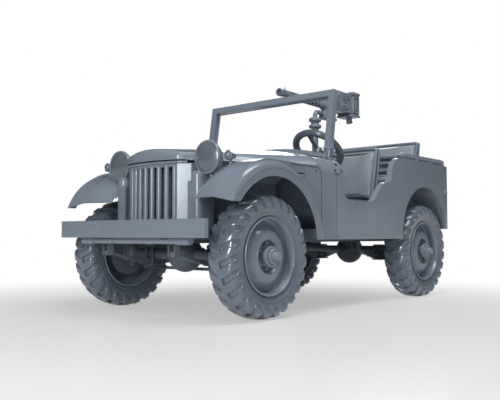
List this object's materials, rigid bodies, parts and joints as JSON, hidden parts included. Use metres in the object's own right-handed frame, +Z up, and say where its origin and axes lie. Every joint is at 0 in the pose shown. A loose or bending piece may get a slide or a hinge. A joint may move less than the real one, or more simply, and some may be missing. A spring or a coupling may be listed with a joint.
{
  "type": "army 4x4 car",
  "caption": "Open light four-wheel-drive army car with round lamps, barred grille, flat bumper, folding windscreen frame, bench seat and a gun on a swivelling post.",
  "frame": {"origin": "on the ground below the middle of the car's bounding box", "axes": "+X forward, +Y to the car's left, +Z up"},
  "size_m": [3.156, 1.63, 1.8797],
  "materials": {
    "body_paint": "semi-gloss slate blue-grey",
    "chassis_paint": "satin slate blue-grey",
    "gun_paint": "semi-gloss slate blue-grey",
    "tyre_rubber": "satin",
    "seat_cover": "satin slate blue-grey",
    "wheel_plastic": "semi-gloss",
    "lens_glass": "smooth"
  },
  "bodies": {
    "car": {"chassis_frame": "chassis_paint", "front_bumper": "body_paint", "tow_tube": "chassis_paint", "tow_hook": "chassis_paint", "engine_block": "chassis_paint", "gearbox": "chassis_paint", "drive_shafts": "chassis_paint", "exhaust": "chassis_paint", "front_axle": "chassis_paint", "rear_axle": "chassis_paint", "front_springs": "chassis_paint", "rear_springs": "chassis_paint", "body_floor": "body_paint", "body_side_left": "body_paint", "body_side_right": "body_paint", "rear_panel": "body_paint", "cowl": "body_paint", "dashboard": "body_paint", "front_fender_left": "body_paint", "front_fender_right": "body_paint", "radiator_shell": "body_paint", "radiator_core": "chassis_paint", "lamp_bowls": "body_paint", "lamp_lenses": "lens_glass", "steering_column": "chassis_paint", "front_cushions": "seat_cover", "seat_bases": "body_paint", "rear_seat": "seat_cover", "top_rails": "body_paint", "gun_post": "gun_paint"},
    "knuckle_l": {"knuckle_left": "chassis_paint"},
    "knuckle_r": {"knuckle_right": "chassis_paint"},
    "track_rod": {"tie_rod": "chassis_paint"},
    "wheel_fl": {"wheel_front_left": "body_paint", "tyre_front_left": "tyre_rubber"},
    "wheel_fr": {"wheel_front_right": "body_paint", "tyre_front_right": "tyre_rubber"},
    "wheel_rl": {"wheel_rear_left": "body_paint", "tyre_rear_left": "tyre_rubber"},
    "wheel_rr": {"wheel_rear_right": "body_paint", "tyre_rear_right": "tyre_rubber"},
    "hood_lid": {"hood": "body_paint"},
    "screen": {"windscreen_frame": "body_paint"},
    "hand_wheel": {"steering_wheel": "wheel_plastic"},
    "swivel": {"gun_cradle": "gun_paint"},
    "gun": {"gun_body": "gun_paint"}
  },
  "joints": [
    {"name": "steer_left", "type": "hinge", "parent": "car", "child": "knuckle_l", "pos_m": [1.05, 0.56, 0.39], "axis": [0, 0, 1], "range_deg": [-27, 27]},
    {"name": "steer_right", "type": "hinge", "parent": "car", "child": "knuckle_r", "pos_m": [1.05, -0.56, 0.39], "axis": [0, 0, 1], "range_deg": [-27, 27]},
    {"name": "hand_wheel_turn", "type": "hinge", "parent": "car", "child": "hand_wheel", "pos_m": [-0.058, 0.34, 1.186], "axis": [-0.6561, 0, 0.7547], "range_deg": [-330, 330]},
    {"name": "track_rod_slide", "type": "slide", "parent": "car", "child": "track_rod", "axis": [0, 1, 0], "range_m": [-0.065, 0.065]},
    {"name": "front_left_spin", "type": "hinge", "parent": "knuckle_l", "child": "wheel_fl", "pos_m": [1.05, 0.66, 0.39], "axis": [0, 1, 0], "continuous": true},
    {"name": "front_right_spin", "type": "hinge", "parent": "knuckle_r", "child": "wheel_fr", "pos_m": [1.05, -0.66, 0.39], "axis": [0, 1, 0], "continuous": true},
    {"name": "rear_left_spin", "type": "hinge", "parent": "car", "child": "wheel_rl", "pos_m": [-1.05, 0.66, 0.39], "axis": [0, 1, 0], "continuous": true},
    {"name": "rear_right_spin", "type": "hinge", "parent": "car", "child": "wheel_rr", "pos_m": [-1.05, -0.66, 0.39], "axis": [0, 1, 0], "continuous": true},
    {"name": "hood_hinge", "type": "hinge", "parent": "car", "child": "hood_lid", "pos_m": [0.515, 0, 1.156], "axis": [0, -1, 0], "range_deg": [0, 50]},
    {"name": "screen_fold", "type": "hinge", "parent": "car", "child": "screen", "pos_m": [0.203, 0, 1.158], "axis": [0, -1, 0], "range_deg": [-90, 0]},
    {"name": "gun_swivel", "type": "hinge", "parent": "car", "child": "swivel", "pos_m": [-0.6, -0.063, 1.52], "axis": [0, 0, 1], "continuous": true},
    {"name": "gun_elevation", "type": "hinge", "parent": "swivel", "child": "gun", "pos_m": [-0.7597, -0.07277, 1.633], "axis": [-0.061, 0.9981, 0], "range_deg": [-20, 8]}
  ],
  "couplings": [
    {"joint": "steer_right", "follows": "steer_left", "ratio": 1},
    {"joint": "hand_wheel_turn", "follows": "steer_left", "ratio": 12},
    {"joint": "track_rod_slide", "follows": "steer_left", "m_per_rad": -0.1275}
  ]
}
